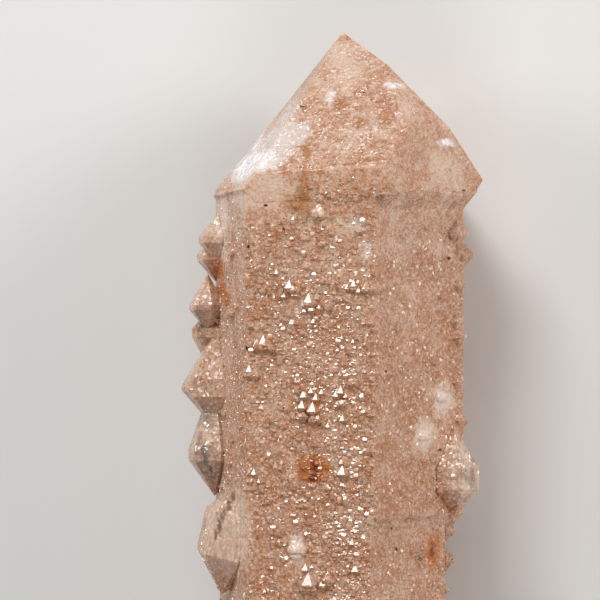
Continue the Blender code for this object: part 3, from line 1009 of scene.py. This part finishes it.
@dataclass(frozen=True)
class Crust:
    """The small crystals that cover the crystal, in joined pieces of many thousand each.

    The leans are in degrees. A crystal whose upper tip leans out of the front face by the glint's lean
    flashes in the light from the top. The larger the thinning is, the more of the crystals are small.
    """

    skin: Skin
    finish: bpy.types.Material
    fields: tuple[Field, ...]
    bright_spots: tuple[Place, ...]
    lean: float = 3.6
    glint_lean: float = 10.7
    thinning: float = 1.8
    bright_seed: int = 131
    bright_lean: float = 0.8
    bright_proud: tuple[float, float] = (0.7, 0.85)
    floor_gap: float = 0.02 * MM

    def build(self) -> None:
        """Makes one piece for each field, and one of the larger crystals that flash."""
        for stretch in self.fields:
            self.grow(stretch)
        self.brighten()

    def grow(self, stretch: Field) -> None:
        """Sets the crystals of one field and joins them.

        Args:
            stretch: the field.
        """
        dice = np.random.default_rng(stretch.seed)
        points, normals = self.skin.scatter(stretch, dice)
        total = len(points)
        small, large = stretch.width
        widths = (small + (large - small) * dice.random(total) ** self.thinning) * MM / 2
        proud = dice.uniform(*stretch.proud, total)
        leans = dice.normal(size=(total, 3)) * self.lean
        share = stretch.glints * (sparkle(points / MM) if Side.FRONT in stretch.sides else 1.0)
        leans[:, 0] += np.where(dice.random(total) < share, self.glint_lean, 0.0)
        kinds = dice.integers(len(stretch.habits), size=total)
        seeds = Seeds(points, normals, widths, proud, np.radians(leans), kinds, dice.random(total))
        self.plant(stretch.name, seeds, stretch.habits)

    def brighten(self) -> None:
        """Sets the larger crystals of the front face that flash one by one."""
        dice = np.random.default_rng(self.bright_seed)
        across, along, width = np.array(self.bright_spots).T
        total = len(width)
        points = np.stack([across, along, np.full(total, FRONT_LEVEL)], axis=1) * MM
        normals = np.tile(np.array(Side.FRONT.outward), (total, 1))
        leans = dice.normal(size=(total, 3)) * self.bright_lean
        leans[:, 0] += self.glint_lean
        proud = dice.uniform(*self.bright_proud, total)
        kinds = np.zeros(total, int)
        seeds = Seeds(points, normals, width * MM / 2, proud, np.radians(leans), kinds, dice.random(total))
        self.plant("bright_crystals", seeds, CRYSTALS[:1])

    def plant(self, name: str, seeds: Seeds, habits: tuple[Habit, ...]) -> None:
        """Puts a crystal on every seed that keeps clear of the floor, and joins them.

        Args:
            name: the piece's name.
            seeds: the crystals' places, sizes and leans.
            habits: the shapes that they choose from.
        """
        all_points, all_faces, all_tones = [], [], []
        start = 0
        for kind, (corner, faces) in enumerate(habit.shape() for habit in habits):
            mine = np.flatnonzero(seeds.kinds == kind)
            turns = [np.array(Euler(lean).to_matrix()) for lean in seeds.leans[mine]]
            turns = np.array(turns).reshape(-1, 3, 3)
            turned = np.einsum("nij,kj->nki", turns, corner) * seeds.widths[mine][:, None, None]
            depth = np.einsum("nki,ni->nk", turned, seeds.normals[mine]).max(axis=1, initial=0.0)
            rise = seeds.proud[mine] * seeds.widths[mine] - depth
            middle = seeds.points[mine] + seeds.normals[mine] * rise[:, None]
            placed = turned + middle[:, None]
            above = placed[:, :, 2].min(axis=1, initial=1.0) > self.floor_gap
            placed = placed[above]
            all_points.append(placed.reshape(-1, 3))
            offsets = start + np.arange(len(placed))[:, None, None] * len(corner)
            all_faces.append((faces[None] + offsets).reshape(-1, 3))
            all_tones.append(np.repeat(seeds.tones[mine][above], len(corner)))
            start += len(placed) * len(corner)
        self.join(name, np.concatenate(all_points), np.concatenate(all_faces), np.concatenate(all_tones))

    def join(self, name: str, points: np.ndarray, faces: np.ndarray, tones: np.ndarray) -> None:
        """Makes one mesh of all the crystals of a field.

        Args:
            name: the piece's name.
            points: the points of every crystal.
            faces: the triangles of every crystal.
            tones: a number from 0 to 1 for each point, the same all over one crystal.
        """
        mesh = bpy.data.meshes.new(name)
        mesh.vertices.add(len(points))
        mesh.vertices.foreach_set("co", points.astype(np.float32).ravel())
        mesh.loops.add(faces.size)
        mesh.loops.foreach_set("vertex_index", faces.astype(np.int32).ravel())
        mesh.polygons.add(len(faces))
        mesh.polygons.foreach_set("loop_start", np.arange(len(faces), dtype=np.int32) * 3)
        mesh.update(calc_edges=True)
        mesh.shade_flat()
        mesh.attributes.new(TONE, "FLOAT", "POINT").data.foreach_set("value", tones.astype(np.float32))
        mesh.materials.append(self.finish)
        piece = bpy.data.objects.new(name, mesh)
        bpy.context.scene.collection.objects.link(piece)
        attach(piece, BODY)
        LOG.info("%s: %d triangles", name, len(faces))


# The larger crystals that flash: across, along and width in millimetres.
BRIGHT_SPOTS = (
    (-1.6, 21.3, 1.5), (-0.9, 20.4, 1.2), (-2.3, 20.2, 0.9), (0.8, 19.6, 1.6), (1.2, 18.6, 1.2),
    (0.3, 18.4, 0.9), (5.6, 21.2, 0.9), (6.4, 21.5, 1.1), (7.0, 20.8, 0.9), (-4.8, 14.6, 1.5),
    (-5.7, 14.3, 1.2), (-4.0, 14.2, 0.9), (-6.6, 11.2, 1.2), (-6.2, 10.5, 0.9), (-3.2, 23.0, 0.8),
    (0.2, 8.2, 1.2), (1.1, 8.7, 0.9), (1.7, 7.9, 1.1), (2.4, 8.6, 0.9), (0.0, 6.9, 1.4),
    (1.3, 6.5, 1.7), (1.9, 5.6, 0.9), (4.2, 8.3, 1.1), (4.8, 8.7, 1.3), (5.4, 8.2, 0.8),
    (3.2, 4.6, 0.8), (5.0, 5.4, 1.0), (0.8, -14.3, 2.2), (0.4, -12.6, 1.2), (3.2, -13.7, 1.5),
    (-6.0, -1.2, 1.0), (-5.4, -2.2, 0.7), (5.0, -1.0, 1.6), (6.6, -12.6, 1.3), (6.2, -9.4, 1.0),
    (2.0, -17.5, 1.0),
)

FIELDS = (
    Field("front_grains", (Side.FRONT,), 6900, 101, (0.16, 0.44), (0.1, 0.5), Crowd.FRONT, 1.0),
    Field("front_crust", (Side.FRONT,), 1900, 111, (0.35, 0.95), (0.15, 0.75), Crowd.FRONT, 1.0, CRYSTALS),
    Field("band_crust", (Side.FRONT,), 1500, 121, (0.30, 0.75), (0.15, 0.6), Crowd.BRIGHT, 1.0, CRYSTALS),
    Field("right_grains", (Side.RIGHT_FRONT,), 6900, 102, (0.14, 0.42), (0.1, 0.5), Crowd.EVEN, 0.06),
    Field(
        "seam_crust", (Side.FRONT, Side.RIGHT_FRONT), 3600, 108, (0.25, 0.65), (0.15, 0.5), Crowd.STEPS, 0.3
    ),
    Field("left_grains", (Side.LEFT_FRONT,), 5000, 103, (0.16, 0.60), (0.1, 0.6), Crowd.EVEN, 0.3),
    Field("right_back_crust", (Side.RIGHT_REAR,), 4000, 104, (0.25, 0.8), (0.1, 0.7), Crowd.EVEN, 0.1),
    Field("left_back_crust", (Side.LEFT_REAR,), 4000, 105, (0.25, 0.8), (0.1, 0.7), Crowd.EVEN, 0.1),
    Field("underside_crust", (Side.REAR,), 2600, 106, (0.2, 0.6), (0.1, 0.4), Crowd.EVEN, 0.1),
)


@dataclass(frozen=True)
class CrystalBody:
    """The shaft, its points and its side crystals, which the CAD solid shows as it is."""

    node: bpy.types.Object
    finish: bpy.types.Material

    def dress(self) -> None:
        """Puts the finish on the CAD node."""
        self.node.data.materials.clear()
        self.node.data.materials.append(self.finish)
        LOG.info("%s: dressed", self.node.name)


@dataclass(frozen=True)
class Softbox:
    """A soft lamp: the way to it from the crystal, its distance and size in metres, and its watts."""

    name: str
    towards: Place
    distance: float
    size: tuple[float, float]
    power: float

    def hang(self, aim: Vector) -> None:
        """Hangs the lamp so that it looks at a point.

        Args:
            aim: the point.
        """
        light = bpy.data.lights.new(self.name, "AREA")
        light.shape = "RECTANGLE"
        light.size, light.size_y = self.size
        light.energy = self.power
        lamp = bpy.data.objects.new(self.name, light)
        way = Vector(self.towards).normalized()
        lamp.location = aim + way * self.distance
        lamp.rotation_mode = "QUATERNION"
        lamp.rotation_quaternion = way.to_track_quat("Z", "Y")
        lamp.visible_camera = False
        bpy.context.scene.collection.objects.link(lamp)


@dataclass(frozen=True)
class Studio:
    """A pale floor, soft lights and the camera, with sizes in metres and the lens in millimetres.

    The camera stands to the right of straight above the front face, by the view's turn.
    """

    floor_width: float = 6.0
    aim: Place = (-3.97 * MM, 19.79 * MM, AXIS_LEVEL * MM)
    frame_width: float = 75 * MM
    view_turn: float = math.radians(15)
    lens: float = 180.0
    sensor: float = 36.0
    nearest: float = 0.01
    sky_colour: Colour = (1.0, 0.985, 0.965)
    sky_strength: float = 0.12
    softboxes: tuple[Softbox, ...] = (
        Softbox("top_softbox", (-0.20, 0.80, 0.57), 0.85, (0.36, 0.24), 5.4),
        Softbox("right_softbox", (0.88, 0.25, 0.40), 1.00, (0.36, 0.36), 5.8),
        Softbox("left_softbox", (-0.80, 0.30, 0.52), 1.00, (0.36, 0.36), 3.2),
        Softbox("lower_softbox", (0.10, -0.75, 0.65), 1.20, (0.60, 0.60), 3.8),
    )

    def build(self) -> None:
        """Makes everything that isn't the crystal."""
        self.floor()
        for softbox in self.softboxes:
            softbox.hang(Vector(self.aim))
        self.sky()
        self.camera()

    def floor(self) -> None:
        """Lays the floor."""
        shape = bmesh.new()
        bmesh.ops.create_grid(shape, x_segments=1, y_segments=1, size=self.floor_width / 2)
        mesh = bpy.data.meshes.new("floor")
        shape.to_mesh(mesh)
        shape.free()
        mesh.materials.append(PaleFloor().build())
        floor = bpy.data.objects.new("floor", mesh)
        bpy.context.scene.collection.objects.link(floor)

    def sky(self) -> None:
        """Surrounds the scene with an even pale light."""
        world = bpy.data.worlds.new("studio")
        world.use_nodes = True
        backdrop = world.node_tree.nodes["Background"]
        backdrop.inputs["Color"].default_value = paint(self.sky_colour)
        backdrop.inputs["Strength"].default_value = self.sky_strength
        bpy.context.scene.world = world
        bpy.context.scene.view_settings.view_transform = "Standard"

    def camera(self) -> None:
        """Sets the camera square to the shaft."""
        data = bpy.data.cameras.new("camera")
        data.lens = self.lens
        data.sensor_width = self.sensor
        data.clip_start = self.nearest
        camera = bpy.data.objects.new("camera", data)
        distance = self.frame_width * self.lens / self.sensor
        way = Vector((math.sin(self.view_turn), 0.0, math.cos(self.view_turn)))
        camera.location = Vector(self.aim) + way * distance
        camera.rotation_euler = Euler((0.0, self.view_turn, 0.0))
        bpy.context.scene.collection.objects.link(camera)
        bpy.context.scene.camera = camera


def main() -> None:
    """Builds the crystal and the studio."""
    logging.basicConfig(level=logging.INFO)
    body = CrystalBody(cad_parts[CRYSTAL_NODE], MilkyQuartz().build())
    body.dress()
    Crust(Skin(body.node), SugarQuartz().build(), FIELDS, BRIGHT_SPOTS).build()
    Studio().build()


if __name__ == "__main__":
    main()
